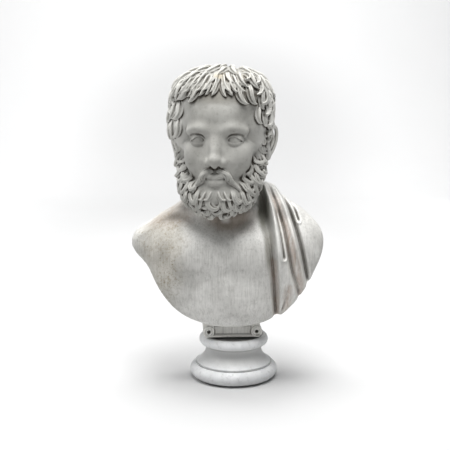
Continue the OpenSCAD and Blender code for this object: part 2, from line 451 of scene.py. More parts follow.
def carve_ear(block, side):
    """Rim, inner fold and lobe round a hollow."""
    def at(x, y, z):
        return (side * x, y, z)
    block.ellipsoid(at(80, 14, -8), (11, 17, 27), soft=5)
    block.ellipsoid(at(95, 10, -8), (9, 10, 16), soft=3, cut=True)
    block.curve([at(82, -4, -4), at(87, 0, 12), at(94, 12, 21), at(98, 26, 12), at(97, 28, -6),
                 at(91, 20, -24), at(85, 8, -34)], 2.8, 4.2, soft=2)
    block.ellipsoid(at(85, 5, -32), (5, 8, 9), soft=3)
    block.curve([at(91, 14, 10), at(93, 19, -4), at(89, 13, -18)], 2.6, 2.6, soft=2)
    block.ellipsoid(at(84, -4, -12), (4, 4, 6), soft=2)


def carve_neck(block):
    """Round neck that widens up into the head, cut off flat at the joint."""
    axis = world_to_head([neck_x, neck_y, 0])
    low = socket_z + 1 - head_at[2]
    part, x, y, z = block.window((-90, -60, block.low[2]), (90, 120, -20))
    flare = np.clip((z + 60) / 90, 0, 1) ** 2 * 10
    ring = np.sqrt((x - axis[0]) ** 2 + (y - axis[1]) ** 2) - (neck_r - 1 + flare)
    block.add(ring + 0 * z, 14, part=part)
    z = block.everywhere()[2]
    block.add(z - low, cut=True)


def hair_region(spots):
    """True where the scalp carries hair, in the head's own frame."""
    x, y, z = np.abs(spots[..., 0]), spots[..., 1], spots[..., 2]
    face = ((x / 74) ** 2 + ((y + 104) / 76) ** 2 + ((z + 2) / 72) ** 2) < 1
    ear = ((y - 12) / 24) ** 2 + ((z + 12) / 30) ** 2 < 1
    below = z < -74
    jaw = (y < 22) & (z < -22)
    return ~(face | (ear & (x > 50)) | below | jaw)


def carve_hair_mass(block):
    """The thickness of the hair under its locks, kept off the face."""
    cap = block.blank()
    cap.ellipsoid((0, 12, 40), (84, 97, 86), soft=0)
    for side in (-1, 1):
        cap.ellipsoid((side * 38, 0, 72), (50, 62, 46), soft=16)
        cap.ellipsoid((side * 62 - 3, 0, 24), (28, 54, 48), soft=14)
    cap.ellipsoid((0, 52, -34), (64, 56, 44), soft=12)
    cap.ellipsoid((0, -104, -2), (72, 74, 66), soft=8, cut=True, margin=60)
    for side in (-1, 1):
        cap.ellipsoid((side * 96, 6, -16), (28, 28, 32), soft=6, cut=True, margin=30)
    block.add(cap.d, 3)


def carve_beard_mass(block):
    """The thickness of the beard under its curls."""
    block.ellipsoid((0, -56, -98), (50, 44, 40), soft=8)
    for side in (-1, 1):
        block.curve([(side * 71, -12, -22), (side * 62, -24, -62), (side * 40, -48, -100)], 8, 22, soft=10)


# How far a lock's middle stands over its edges, as a share of its half width
CROWNING = 0.8


class Locks:
    """Comma-shaped locks traced over a surface, each a sheaf of tapering strands."""

    def __init__(self, base, hair, rng):
        self.base = base
        self.hair = hair
        self.rng = rng

    def lay(self, roots, heading, length, width, sweep=0.0, hook=60.0, power=2.0, lift=4.0, sink=1.0,
            pitch=5.0, steps=16, taper=2.0):
        """Angles are in degrees: a lock turns by sweep evenly, and by hook mostly at its tip.

        A higher taper keeps a lock wide for longer and gives it a blunter tip.
        """
        count = len(roots)
        if count == 0:
            return
        length, width, sweep, hook, lift = (np.broadcast_to(np.asarray(v, float), (count,))
                                            for v in (length, width, sweep, hook, lift))
        spots = self.base.settle(np.asarray(roots, float))
        ways = np.broadcast_to(np.asarray(heading, float), (count, 3))
        stride = length / (steps - 1)
        path, sides, ups = [], [], []
        for i in range(steps):
            up = self.base.normal(spots)
            ways = unit(ways - up * (ways * up).sum(-1, keepdims=True))
            across = np.cross(up, ways)
            path.append(spots)
            sides.append(across)
            ups.append(up)
            t = (i + 0.5) / (steps - 1)
            bend = np.radians(sweep + hook * (power + 1) * t ** power) / (steps - 1)
            ways = ways * np.cos(bend)[:, None] + across * np.sin(bend)[:, None]
            spots = self.base.settle(spots + ways * stride[:, None], passes=1)
        path, sides, ups = (np.stack(v, 1) for v in (path, sides, ups))
        for lock in range(count):
            self.spin(path[lock], sides[lock], ups[lock], width[lock], lift[lock], sink, pitch, taper)

    def spin(self, path, sides, ups, width, lift, sink, pitch, taper):
        """Strands side by side over lower cores, which floor the grooves between them."""
        strands = max(int(round(width / pitch)), 2)
        t = np.linspace(0, 1, len(path))
        half = width / 2 * (0.75 + 0.6 * t) * (1 - t ** taper) + 0.4
        rise = lift * t ** 1.6 - sink * (1 - t) ** 2
        crown = half * CROWNING * np.clip(t / 0.3, 0, 1)
        strand_r = np.maximum(half / strands * 0.98, 0.9)
        groove = np.minimum(1.75 * strand_r, 3.6)
        for u in np.linspace(-1, 1, strands):
            high = rise + (1 - u * u) * crown
            inset = half - strand_r
            line = path + sides * (u * inset)[:, None] + ups * high[:, None]
            last = len(path) - self.rng.integers(0, 4)
            self.hair.thread(line[:last], (strand_r * self.rng.uniform(0.82, 1.12))[:last])
        for u in (-0.62, 0, 0.62):
            core_r = half * 0.46
            high = rise + (1 - u * u) * crown + strand_r - groove - core_r
            self.hair.thread(path + sides * (u * (half - core_r))[:, None] + ups * high[:, None], core_r)


def ring_spots(base, angles, z, centre_y=-10.0):
    """Points on the stone at one height, by angle from the front towards +X, in degrees."""
    angles = np.radians(angles)
    starts = np.stack([170 * np.sin(angles), centre_y - 170 * np.cos(angles),
                       np.full(len(angles), float(z))], -1)
    spots, _ = base.hit(starts, unit(np.array([0, centre_y, z]) - starts))
    return spots


def lay_scalp(locks, base, rng):
    """Rows of overlapping locks round the crown, combed away from it."""
    scalp_r, lock_reach = 98, 54
    centre = np.array([0, 8, 26.0])
    up = unit(np.array([0.06, 0.30, 1.0]))
    right = unit(np.cross(up, [0, -1, 0]))
    front = np.cross(right, up)
    for row, degrees in enumerate((4, 14, 25, 42, 60, 78, 96, 114, 132)):
        tilt = math.radians(degrees)
        spacing = 17 if degrees > 30 else 13
        count = max(int(round(2 * math.pi * scalp_r * math.sin(tilt) / spacing)), 4)
        turns = (np.arange(count) + 0.5 * (row % 2)) * 2 * math.pi / count + rng.uniform(-0.03, 0.03, count)
        around = np.cos(turns)[:, None] * front + np.sin(turns)[:, None] * right
        ways = math.cos(tilt) * up + math.sin(tilt) * around
        spots, met = base.hit(centre + ways * 180, -ways)
        flow = math.cos(tilt) * around - math.sin(tilt) * up
        keep = met & hair_region(spots) & hair_region(spots + flow * lock_reach)
        spots, flow = spots[keep], flow[keep]
        count = len(spots)
        lean = np.where(spots[:, 0] < 14, -1, 1) * np.where(spots[:, 1] > 40, -1, 1)
        locks.lay(spots, flow, length=rng.uniform(50, 58, count) - degrees / 6,
                  width=rng.uniform(16, 20, count), sweep=-lean * rng.uniform(0, 20, count),
                  hook=lean * (rng.uniform(35, 75, count) + degrees / 1.5),
                  lift=rng.uniform(0.8, 1.2, count) * min(2.5 + degrees / 14, 5.5), pitch=4.8)


def front_spots(base, xs, z, start_y=-150.0):
    """Points on the stone seen from straight in front, at each x."""
    starts = np.stack([xs, np.full(len(xs), start_y), np.broadcast_to(z, (len(xs),))], -1)
    spots, _ = base.hit(starts, np.tile([0.0, 1.0, 0.0], (len(xs), 1)))
    return spots


def lay_fringe(locks, base, rng):
    """Comma locks over the forehead, forked near the middle, in an under and an upper layer."""
    for top, step, length, width, lift in ((101, 9.0, 33, 15, 3), (113, 8.0, 49, 13, 8)):
        xs = np.arange(-64, 30, step)
        count = len(xs)
        fork = np.where(xs < 4, -1, 1)
        spots = front_spots(base, xs, top - 0.0018 * xs * xs)
        heading = np.outer(fork * 0.06 + 0.002 * xs, (1, 0, 0)) + (0, 0, -1)
        longer = 1 + 0.16 * np.exp(-((xs - 4) / 16) ** 2)
        locks.lay(spots, heading, length=length * longer * rng.uniform(0.95, 1.06, count), width=width,
                  sweep=-fork * 18,
                  hook=fork * np.clip(52 + np.where(xs > 4, 1.8, 0.7) * np.abs(xs - 4), 0, 95), power=2.0,
                  lift=lift + 2.0 * (np.arange(count) % 2), pitch=4.2, steps=30)
    # Swirl right of the fork: locks that fall outwards and curl back towards the middle
    for x, z, length, hook in ((38, 115, 42, -165), (45, 117, 56, -140), (54, 111, 60, -130)):
        spot = front_spots(base, np.array([x]), z)
        locks.lay(spot, (0.5, 0, -0.8), length=length, width=13, hook=hook, power=1.0, lift=8,
                  pitch=4.2, steps=26)


def lay_temples(locks, base, rng):
    """Close waves by the ear on the bare side, and big curls one under another on the draped side."""
    # Height, first and last angle from the front, step between locks and their length
    rows = ((88, 58, 150, 11, 34), (70, 64, 150, 11, 31), (52, 68, 152, 11, 29), (35, 70, 96, 10, 27),
            (24, 112, 160, 11, 36), (-4, 120, 176, 12, 38), (-30, 122, 178, 12, 34))
    for side in (-1, 1):
        for z, first, last, step, length in rows:
            angles = np.arange(first, last, step) + rng.uniform(-1.5, 1.5)
            spots = ring_spots(base, angles * side, z, centre_y=10)
            count = len(spots)
            wave = side * np.where(rng.random(count) < 0.75, 1, -1)
            fine = side < 0 and z > 30
            locks.lay(spots, (side * 0.3, 0.45, -1), length=length * rng.uniform(0.95, 1.1, count),
                      width=rng.uniform(11, 13, count) if fine else rng.uniform(14, 17, count),
                      hook=-wave * rng.uniform(70, 110, count) * (1 if fine else 1.6), power=1.0,
                      lift=rng.uniform(5, 8, count), pitch=3.6 if fine else 4.2, steps=22)
        # Short locks in front of the ear
        for z in (18, 4, -10):
            spots = ring_spots(base, np.array([66.0, 75.0]) * side, z, centre_y=10)
            locks.lay(spots, (0, 0.1, -1), length=24, width=10, hook=side * 110, power=1.0, lift=4,
                      pitch=3.4, steps=20)
    big_curls = ((57, 96, 50, 18, -150), (63, 80, 54, 20, -160), (67, 62, 54, 20, -160),
                 (70, 44, 50, 19, -160), (73, 27, 42, 17, -150))
    for angle, z, length, width, hook in big_curls:
        spot = ring_spots(base, [angle], z, centre_y=0)
        locks.lay(spot, (0.5, 0.5, -0.7), length=length, width=width, hook=hook, power=1.0, lift=10,
                  pitch=4.4, steps=28)


def lay_beard(locks, base, rng):
    """Tiers of curls that part at the middle, wide on the jaws and smaller at the chin."""
    # Height, first and last angle from the front, step between locks, their length and width
    tiers = ((-24, 80, 100, 10, 38, 15), (-38, 68, 108, 12, 42, 17), (-53, 52, 106, 12, 44, 18),
             (-68, 38, 104, 13, 44, 19), (-83, 24, 100, 13, 42, 18), (-98, 8, 94, 15, 36, 17),
             (-112, 10, 84, 16, 30, 16), (-126, 6, 70, 18, 22, 14))
    for tier, (z, first, last, step, length, width) in enumerate(tiers):
        for side in (-1, 1):
            angles = np.arange(first, last, step) + 3.0 * (tier % 2)
            spots = ring_spots(base, angles * side, z, centre_y=-20)
            count = len(spots)
            curl = side * np.where(rng.random(count) < 0.8, 1, -1)
            locks.lay(spots, (-side * 0.2, 0, -1), length=length * rng.uniform(0.95, 1.15, count),
                      width=width, sweep=-curl * 25, hook=curl * rng.uniform(190, 250, count), power=1.1,
                      lift=rng.uniform(3, 7, count), sink=3.5, pitch=3.5, steps=28, taper=2.6)


def lay_moustache(locks, base):
    """Two drooping wings of wavy strands from under the nose, that run down into the beard."""
    for side in (-1, 1):
        for x, z, length, width, droop, curl in ((4, -51, 66, 15, 72, 55), (9, -56, 46, 10, 62, 40)):
            spot = front_spots(base, np.array([side * x]), z)
            locks.lay(spot, (side, 0, -0.32), length=length, width=width, sweep=-side * droop,
                      hook=side * curl, power=2.5, lift=2.5, sink=-1.5, pitch=3.8, steps=26)


def lay_chin(locks, base):
    """A tuft under the lower lip that fans out over the chin in small locks."""
    for z, xs, length, width in ((-86, (-15, -5, 5, 15), 26, 12), (-99, (-22, -8, 8, 22), 30, 14)):
        spots = front_spots(base, np.array(xs), z, start_y=-140.0)
        side = np.sign(xs)
        heading = np.outer(side, (0.3, 0, 0)) + (0, 0, -1)
        locks.lay(spots, heading, length=length, width=width, sweep=-side * 20, hook=side * 150, lift=4,
                  sink=3, pitch=3.5, steps=20)


def sculpt_head():
    block = Block((-112, -132, -164), (112, 122, 142), HEAD_CELL)
    carve_skull(block)
    carve_eyes(block)
    carve_nose(block)
    carve_mouth(block)
    carve_hair_mass(block)
    for side in (-1, 1):
        carve_ear(block, side)
    carve_beard_mass(block)
    hair = block.blank()
    rng = np.random.default_rng(SEED)
    locks = Locks(block, hair, rng)
    lay_scalp(locks, block, rng)
    lay_temples(locks, block, rng)
    lay_fringe(locks, block, rng)
    lay_beard(locks, block, rng)
    lay_chin(locks, block)
    lay_moustache(locks, block)
    hair.soften()
    block.add(hair.d, 0.8)
    carve_neck(block)
    dowel = world_to_head([neck_x, neck_y, dowel_high[2]])
    block.bore(dowel[0], dowel[1], block.low[2], dowel[2] + 1, dowel_r + 0.5)
    return block.mesh("head_carved", head_to_world, lambda p: np.clip(1.3 - hair.sample(p) / 3, 0, 1))


# ---- Torso ----

MIDLINE = neck_x + 2
CUT_BACK = torso_high[1] - 32

# Inner edge of the cloak down the chest, as (x, z) from the shoulder to the lower edge
CLOAK_EDGE = [(40, 410), (47, 380), (52, 356), (58, 331), (61, 302), (65, 250), (71, 190), (74, 141),
              (75, 100)]

# Relief seen from the front: (x, z) down a line, then half widths and heights along it in equal steps,
# and the height of the lips that run along both sides of a groove and round its end
CLOAK_FOLDS = [
    ([(40, 388), (45, 356), (51, 331), (56, 300), (63, 250), (70, 190), (74, 140), (75, 110)],
     (18, 18, 15, 11, 9, 7), (-10, -13, -12, -10, -8, -6), 0),
    ([(55, 380), (62, 348), (67, 320), (71, 286), (75, 250), (79, 215), (81, 180)],
     (8, 9, 9, 9, 10, 10), (3, 4.5, 5, 4.5, 2.5, 0), 0),
    ([(58, 376), (67, 344), (75, 315), (80, 285), (85, 246)],
     (2.5, 3, 3.8, 4.2), (-2, -4, -5.5, -6.5), 1.8),
    ([(66, 372), (78, 330), (86, 298), (92, 260), (99, 226), (108, 196), (116, 168)],
     (4, 5, 7, 7.5, 7, 6), (-4, -6, -7, -7.5, -7, -5), 0),
    ([(76, 372), (88, 338), (98, 306), (107, 266), (117, 226), (124, 196)],
     (5, 6, 7, 7, 6, 4), (3, 4, 4, 3.5, 2.5, 1), 0),
    ([(82, 372), (96, 338), (106, 310), (114, 280), (122, 245), (129, 210), (138, 172)],
     (3, 5, 6.5, 7, 7, 6), (-4, -7, -9.5, -9.5, -9, -7), 0),
    ([(96, 362), (105, 340), (112, 322), (116, 308)], (2.5, 3, 3.2), (-4, -4.5, -4.5), 2.0),
    ([(84, 384), (93, 366), (101, 351)], (2.5, 2.5), (-3, -3), 1.0),
    ([(98, 204), (92, 176), (84, 150), (78, 130)], (4, 4, 4), (0, -3, -6), 0),
    ([(103, 226), (108, 190), (104, 160)], (6, 6), (0.5, 2), 0),
    ([(128, 318), (134, 280), (136, 240)], (3, 4), (-0.6, -1.4), 0),
    ([(140, 306), (147, 276), (150, 244)], (3, 4), (-0.6, -1.2), 0),
]

# The same for the bare chest: breast muscles' lower edges, breastbone, fold by the arm, collar bones
CHEST_RELIEF = [
    ([(MIDLINE - 100, 222), (MIDLINE - 56, 206), (MIDLINE - 8, 214)], (24, 24), (-1.0, -2.0, -1.5), 0),
    ([(MIDLINE + 8, 214), (MIDLINE + 44, 206)], (24, 24), (-1.5, -1.5), 0),
    ([(MIDLINE, 306), (MIDLINE + 2, 214)], (26, 26), (-2.5, -3.0), 0),
    ([(MIDLINE - 92, 286), (MIDLINE - 112, 240), (MIDLINE - 122, 196)], (22, 22), (-1.5, -4.0, -2.0), 0),
    ([(MIDLINE - 118, 318), (MIDLINE - 62, 326), (MIDLINE - 16, 318)], (14, 14), (1.0, 2.5, 3.0), 0),
    ([(MIDLINE + 16, 318), (MIDLINE + 50, 324)], (14, 14), (3.0, 2.0), 0),
]

# Brown stains that follow the folds: (x, z) down a line, half width and strength
STAIN_LINES = [
    ([(60, 372), (76, 336), (90, 296), (100, 256), (110, 216), (120, 174)], 15, 0.6),
    ([(66, 240), (71, 190), (75, 140), (76, 110)], 9, 0.7),
    ([(94, 190), (92, 160), (90, 130)], 12, 0.6),
]


def edge_x(z):
    """Where the cloak's inner edge lies at each height."""
    x, height = np.array(CLOAK_EDGE, float)[::-1].T
    return np.interp(z, height, x)


def line_gap(x, z, line):
    """Distance to a line of points in the X-Z plane, and the share of the line at the nearest spot."""
    gap = np.full(np.broadcast_shapes(x.shape, z.shape), 1e6)
    along = np.zeros(gap.shape)
    for i, (a, b) in enumerate(zip(line[:-1], line[1:])):
        ab = b - a
        t = np.clip(((x - a[0]) * ab[0] + (z - a[1]) * ab[1]) / (ab @ ab), 0, 1)
        away = np.hypot(x - a[0] - t * ab[0], z - a[1] - t * ab[1])
        nearer = away < gap
        gap = np.where(nearer, away, gap)
        along = np.where(nearer, (i + t) / (len(line) - 1), along)
    return gap, along


def hump(gap):
    """1 at 0, falling smoothly to 0 at 1."""
    gap = np.clip(np.abs(gap), 0, 1)
    return 1 - gap * gap * (3 - 2 * gap)


def relief(x, z, lines):
    """Height of a set of ridges and grooves at each (x, z)."""
    total = 0
    for points, widths, heights, lip in lines:
        gap, along = line_gap(x, z, smooth_line(points, 4))
        width = np.interp(along, np.linspace(0, 1, len(widths)), widths)
        height = np.interp(along, np.linspace(0, 1, len(heights)), heights)
        total = total + height * hump(gap / width)
        if lip:
            total = total + lip * along * hump((gap - width - 1) / 3)
    return total


def silhouette(node):
    """Radius of a CAD node's front outline by angle, round its middle in X and Z."""
    points = np.array([v.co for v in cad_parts[node].data.vertices])[:, [0, 2]] / MM
    middle = (points.min(0) + points.max(0)) / 2
    away = points - middle
    angle = np.arctan2(away[:, 1], away[:, 0])
    radius = np.hypot(away[:, 0], away[:, 1])
    bins = 90
    slot = ((angle + math.pi) / (2 * math.pi) * bins).astype(int) % bins
    widest = np.zeros(bins)
    np.maximum.at(widest, slot, radius)
    empty = widest == 0
    widest[empty] = np.interp(np.flatnonzero(empty), np.flatnonzero(~empty), widest[~empty], period=bins)
    kernel = np.array([1, 2, 1]) / 4
    widest = np.convolve(np.concatenate([widest[-1:], widest, widest[:1]]), kernel, "valid")
    centres = (np.arange(bins) + 0.5) * 2 * math.pi / bins - math.pi
    return middle, centres, widest


def outline_distance(block, node):
    """Distance outside the node's front outline, the same at every depth."""
    middle, centres, widest = silhouette(node)
    x, y, z = block.everywhere()
    x, z = x - middle[0], z - middle[1]
    angle = np.arctan2(z + 0 * x, x + 0 * z)
    step = 0.05
    before, radius, after = (np.interp(angle + turn, centres, widest, period=2 * math.pi)
                             for turn in (-step, 0, step))
    slope = (after - before) / (2 * step)
    return ((np.hypot(x, z) - radius) / np.sqrt(1 + (slope / radius) ** 2)).astype(np.float32)


def carve_trunk(block):
    """Ribcage, breast muscles, shoulders and the arm stub of the bare side."""
    block.ellipsoid((MIDLINE - 42, -6, 215), (112, 76, 112), soft=0)
    block.ellipsoid((MIDLINE + 62, -6, 215), (112, 76, 112), soft=40)
    block.ellipsoid((MIDLINE + 4, -18, 150), (112, 56, 60), soft=30)
    for side in (-1, 1):
        block.ellipsoid((MIDLINE + side * 55, -38, 250), (60, 47, 44), soft=28)
        shoulder = [(24, 26, 376), (80, 20, 322), (142, 14, 276)]
        block.curve([(MIDLINE + side * x, y, z) for x, y, z in shoulder], 32, 38, soft=22)
        collar_bone = [(15, -46, 322), (66, -38, 330), (122, -14, 318)]
        block.curve([(MIDLINE + side * x, y, z) for x, y, z in collar_bone], 8, 8, soft=22)
    block.ellipsoid((MIDLINE - 132, 0, 262), (54, 46, 48), soft=30)
    block.ellipsoid((MIDLINE + 146, 2, 258), (50, 48, 54), soft=24)
    post = np.array([[neck_x, neck_y, 300], [neck_x, neck_y, 400]])
    block.chain(post, neck_r - 0.5, soft=26)
    block.ellipsoid((MIDLINE, -64, 328), (13, 16, 15), soft=16, cut=True)
    x, y, z = block.everywhere()
    block.d -= relief(x, z, CHEST_RELIEF).astype(np.float32)


def carve_cloak(block):
    """Cloth over one shoulder: a layer over the trunk with a rolled hem, ridges and pleats."""
    thickness, step = 10, 9
    x, y, z = block.everywhere()
    cover = np.clip((x - edge_x(z) - 3) / step + 0.5, 0, 1)
    layer = thickness * cover * cover * (3 - 2 * cover)
    block.d -= (layer + relief(x, z, CLOAK_FOLDS)).astype(np.float32)


def carve_hollow(block):
    """The back cut flat and hollowed to either side of a rib, as on the CAD block."""
    rib_half = 42
    x, y, z = block.everywhere()
    hollow = block.blank()
    for x0, z0, radii, soft in ((-62, 226, (66, 72, 58), 0), (72, 226, (66, 72, 58), 10),
                                (-10, 240, (80, 66, 50), 10), (12, 170, (76, 70, 36), 16)):
        hollow.ellipsoid((MIDLINE + x0, CUT_BACK + 10, z0), radii, soft=soft)
    hollow.add(np.abs(x) - rib_half, 8, cut=True)
    block.add(hollow.d, 4, cut=True)
    block.add(CUT_BACK - y, 3, cut=True)


def carve_nape(block):
    """Upper back, which closes the neck's socket behind."""
    block.ellipsoid((neck_x, 24, 328), (80, 54, 44), soft=10)
    block.ellipsoid((neck_x, 18, 300), (96, 38, 34), soft=12)
    block.chain([(neck_x, neck_y, 300), (neck_x, neck_y, 400)], neck_r - 0.5, soft=16)


def cut_joints(block):
    """Flat seat on the tablet, the round socket for the neck, and the bores."""
    x, y, z = block.everywhere()
    margin = 2
    tablet_x, tablet_half = (tablet_low[0] + tablet_high[0]) / 2, (tablet_high[0] - tablet_low[0]) / 2
    beside = np.abs(x - tablet_x) - tablet_half - margin
    before = tablet_low[1] - margin - y
    block.add(np.maximum(np.maximum(z - seat_z, beside), before), cut=True)
    ring = np.sqrt((x - neck_x) ** 2 + (y - neck_y) ** 2)
    block.add(np.maximum(ring - np.where(z > mortar_high[2], neck_r + 1, neck_r), socket_z - z), cut=True)
    block.bore(neck_x, neck_y, dowel_low[2] - 1, socket_z + 1, dowel_r + 0.5)
    block.bore(0, 0, seat_z - 1, rod_high[2] + 1, grout_r + 0.5)
    for side in (-1, 1):
        block.bore(side * torso_pin_x, 0, seat_z - 1, torso_pins_high[2] + 1, pin_r + 0.5)


def stain_cloak(piece):
    """Values for the brown runs on the front of the cloak, which fade out towards the back."""
    points = np.empty(len(piece.data.vertices) * 3, np.float32)
    piece.data.vertices.foreach_get("co", points)
    x, y, z = points.reshape(-1, 3).T / MM
    stain = np.zeros(len(x))
    for line, width, strength in STAIN_LINES:
        gap, _ = line_gap(x, z, smooth_line(line, 4))
        stain = np.maximum(stain, strength * hump(gap / width))
    set_values(piece, "stain", stain * np.clip((-5 - y) / 25, 0, 1))


def sculpt_torso():
    block = Block(torso_low - 10, torso_high + 14, TORSO_CELL)
    carve_trunk(block)
    carve_cloak(block)
    block.soften(0.25)
    carve_hollow(block)
    carve_nape(block)
    block.add(-outline_distance(block, "torso"), 8, cut=True)
    cut_joints(block)
    piece = block.mesh("torso_carved", carved=lambda p: np.clip((p[:, 0] - edge_x(p[:, 2])) / 12 + 1.4, 0, 1))
    stain_cloak(piece)
    return piece


# ---- Tablet ----

def carve_scroll(block, x0, z0, front, side, eye_depth):
    """A rolled end: a low drum, a spiral groove round it and a drilled eye."""
    drum, eye_r, spiral_points = 10.4, 3.4, 30
    part, x, y, z = block.window((x0 - 16, front - 6, z0 - 16), (x0 + 16, block.low[1] + 200, z0 + 16))
    rings = np.hypot(x - x0, z - z0) - drum
    block.add(np.maximum(rings, front - 1.8 - y), 1.0, part=part)
    turns = np.linspace(0, 1, spiral_points)
    angle = math.pi / 2 + side * turns * 2.4 * math.pi
    radius = drum - 2.2 - (drum - eye_r - 3.4) * turns
    spiral = np.stack([x0 + radius * np.cos(angle), np.full(spiral_points, front - 2.2),
                       z0 + radius * np.sin(angle)], -1)
    block.chain(spiral, 1.5, soft=0.8, cut=True)
    block.chain([(x0, front - 8, z0), (x0, front + eye_depth, z0)], eye_r, soft=0.6, cut=True)


def sculpt_tablet():
    """A framed panel between two scrolls, over a ledge with a shadow slot under it."""
    low, high = tablet_low, tablet_high
    middle = (low[0] + high[0]) / 2
    block = Block(low - 4, high + 4, TABLET_CELL)
    inset, ledge, slot, waisted = 3.0, 3.4, 3.0, 3.0
    ledge_low = low[2] + slot
    ledge_top = ledge_low + ledge
    front = low[1] + 2
    left, right = low[0] + inset, high[0] - inset
    scroll_z = low[2] + 13
    scroll_x = (right - left) / 2 - 9
    block.box((left + waisted, front, low[2]), (right - waisted, high[1], high[2]), rounded=1)
    block.box((left + 19, front - 4, ledge_top + 1), (right - 19, front + 2.4, high[2] - 7),
              soft=1, cut=True, rounded=0.5)
    # A thin moulding over the panel, and a wider one along the top
    for inward, outward, bottom, top in ((17, 1.4, 8.5, 5), (2, 0.6, 3.4, 0)):
        block.box((left + inward, front - outward, high[2] - bottom),
                  (right - inward, front + 4, high[2] - top), soft=1, rounded=0.8)
    for side, eye_depth in ((-1, 5), (1, 13)):
        carve_scroll(block, middle + side * scroll_x, scroll_z, front, side, eye_depth)
    block.box((low[0] - 1, low[1] - 6, low[2] - 2), (high[0] + 1, front + 7, ledge_low), cut=True)
    block.box((low[0] + 9, low[1], ledge_low), (high[0] - 9, high[1], ledge_top), soft=1, rounded=1.2)
    # Wear: a lump of mortar at one lower corner and a chip off the other end of the ledge
    block.ellipsoid((low[0] + 11, low[1] + 4, ledge_top), (5, 4, 3), soft=2)
    block.ellipsoid((high[0] - 9, low[1], ledge_top), (5, 4, 2.4), soft=1, cut=True)
    for side in (-1, 1):
        block.bore(side * torso_pin_x, 0, torso_pins_low[2] - 1, high[2] + 5, pin_r + 0.4)
        block.bore(side * tablet_pin_x, 0, low[2] - 5, tablet_pins_high[2] + 1, pin_r + 0.4)
    block.bore(0, 0, low[2] - 5, high[2] + 5, rod_r + 1)
    block.box((low[0] - 8, low[1] - 8, high[2] + 0.01), high + 8, cut=True)
    return block.mesh("tablet_carved")


# ---- Socle ----

def arc(centre, r, first, last, count):
    """Points on a circle in (radius, height), by angle in degrees."""
    angles = np.radians(np.linspace(first, last, count))
    return [(centre[0] + r * math.cos(a), centre[1] + r * math.sin(a)) for a in angles]


def socle_profile():
    """Closed outline in (radius, height): up the outside, over the top and down the bore."""
    foot_r = socle_high[0]
    low, top = socle_low[2], socle_high[2]
    foot_tube, top_tube, flare_r = 13.0, 9.5, 30.0
    waist_r, top_r, ring_r = 53.0, 66.0, 72.0
    foot_top, flare_low, flare_high = low + 2 * foot_tube, low + 2 * foot_tube + 3, low + 57
    recess_r, bore_r, recess_top = washer_high[0] + 2, rod_r + 1, washer_high[2]
    points = [(bore_r, recess_top), (recess_r, recess_top), (recess_r, low + 1), (recess_r + 1, low)]
    points += arc((foot_r - foot_tube, low + foot_tube), foot_tube, -90, 84, 28)
    # A turned line between the foot and the flare
    points += [(ring_r + 0.8, foot_top - 0.4), (ring_r - 0.5, foot_top), (ring_r + 0.4, foot_top + 0.7),
               (ring_r, flare_low)]
    first = math.degrees(math.asin((flare_low - flare_high) / flare_r))
    points += arc((waist_r + flare_r, flare_high), flare_r, 180 - first, 180, 18)
    top_z = top - top_tube
    meet = math.degrees(math.acos((waist_r - top_r + top_tube) / top_tube))
    points += arc((top_r - top_tube, top_z), top_tube, -min(meet, 100), 88, 26)
    # The top falls a little towards the tablet, so a shadow gathers under its ledge
    points += [(top_r - top_tube - 2, top - 0.2), (48, top - 1.2), (36, top - 1.2), (30, top),
               (bore_r + 1, top), (bore_r, top - 1)]
    return np.array(points)


def build_socle():
    """The profile turned round the axis, with painted shade round the tablet, in the waist and in the turned
    line.
    """
    profile = socle_profile()
    rounds = 240
    angles = np.arange(rounds) * 2 * math.pi / rounds
    points = np.stack([profile[:, 0][:, None] * np.cos(angles), profile[:, 0][:, None] * np.sin(angles),
                       profile[:, 1][:, None] + 0 * angles], -1)
    points = points.reshape(-1, 3)
    r, z = profile.T
    top = socle_high[2]
    # Painted shade: darker on the top round the tablet's ledge, in the waist and along the turned line
    round_tablet = np.clip((r < 58) * (z > top - 3) * (60 - r) / 10, 0, 1)
    in_waist = 0.5 * np.exp(-((z - 63) / 3) ** 2)
    in_line = 0.5 * np.exp(-((z - socle_low[2] - 26) / 0.5) ** 2) * (r < 72)
    painted_shade = np.maximum.reduce([round_tablet, in_waist, in_line])
    row = np.arange(len(profile))[:, None] * rounds
    next_row = np.roll(np.arange(len(profile)), -1)[:, None] * rounds
    here, there = np.arange(rounds)[None, :], np.roll(np.arange(rounds), -1)[None, :]
    quads = np.stack([row + here, row + there, next_row + there, next_row + here], -1).reshape(-1, 4)
    piece = mesh_object("socle_turned", points * MM, quads)
    set_values(piece, "hollow", np.repeat(painted_shade, rounds))
    return piece


def hand_in(piece, node):
    """Puts a piece in a CAD node's place: hides the node and puts the piece on the bust's one body."""
    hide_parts(node)
    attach(piece, "root")
    return piece


head_piece = hand_in(sculpt_head(), "head")
torso_piece = hand_in(sculpt_torso(), "torso")
tablet_piece = hand_in(sculpt_tablet(), "index_tablet")
socle_piece = hand_in(build_socle(), "socle")


# ---- Materials ----

